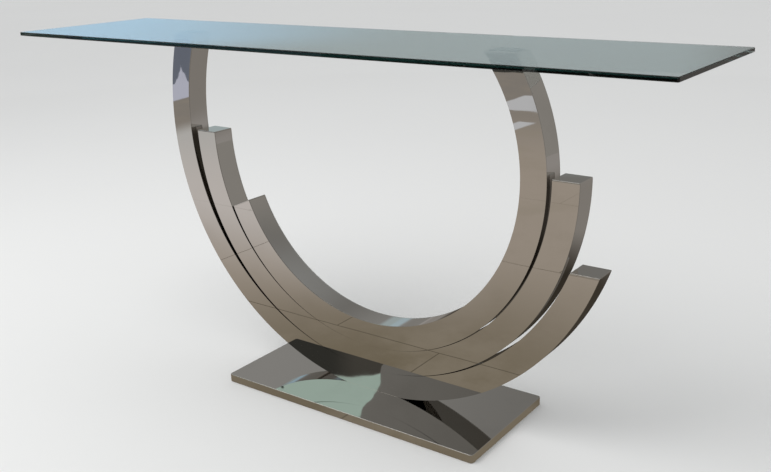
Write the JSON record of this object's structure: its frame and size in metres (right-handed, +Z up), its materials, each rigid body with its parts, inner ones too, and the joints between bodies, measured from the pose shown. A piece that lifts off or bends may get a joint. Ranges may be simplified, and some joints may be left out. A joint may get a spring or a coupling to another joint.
{
  "type": "console table",
  "caption": "Long narrow console table: a clear glass sheet on nested mirror-steel arcs that rise from a low plinth.",
  "frame": {"origin": "on the floor, under the middle of the glass top, which is the middle of the box's bottom face", "axes": "+X along the glass top's length towards the inner arc's tall arm, +Y from the front to the back, +Z up"},
  "size_m": [1.5, 0.35, 0.727],
  "materials": {
    "glass": "clear float glass with a green tint, flat polished edges",
    "clear_pad": "clear soft bonding pad",
    "mirror_steel": "mirror-polished stainless steel with faint smudges and pits",
    "plain_steel": "mill finish, hidden",
    "dark_steel": "black primer, matt",
    "zinc_steel": "bright zinc plate",
    "rubber": "matt black"
  },
  "bodies": {
    "root": {"glass_top": "glass", "left_glass_pad": "clear_pad", "right_glass_pad": "clear_pad", "outer_front_plate": "mirror_steel", "outer_back_plate": "mirror_steel", "outer_rim_strips": "mirror_steel", "outer_throat_strip": "mirror_steel", "outer_top_cap": "mirror_steel", "outer_end_cap": "mirror_steel", "outer_seat_plate": "plain_steel", "middle_front_plate": "mirror_steel", "middle_back_plate": "mirror_steel", "middle_rim_strip": "mirror_steel", "middle_throat_strip": "mirror_steel", "middle_left_cap": "mirror_steel", "middle_right_cap": "mirror_steel", "inner_front_plate": "mirror_steel", "inner_back_plate": "mirror_steel", "inner_rim_strip": "mirror_steel", "inner_throat_strip": "mirror_steel", "inner_end_cap": "mirror_steel", "inner_top_cap": "mirror_steel", "plinth_skin": "mirror_steel", "ballast_plate": "dark_steel", "rubber_feet": "rubber", "tie_bolts": "zinc_steel", "tie_washers": "zinc_steel", "outer_spacers": "plain_steel", "middle_spacers": "plain_steel", "clamp_block": "plain_steel"}
  },
  "joints": []
}
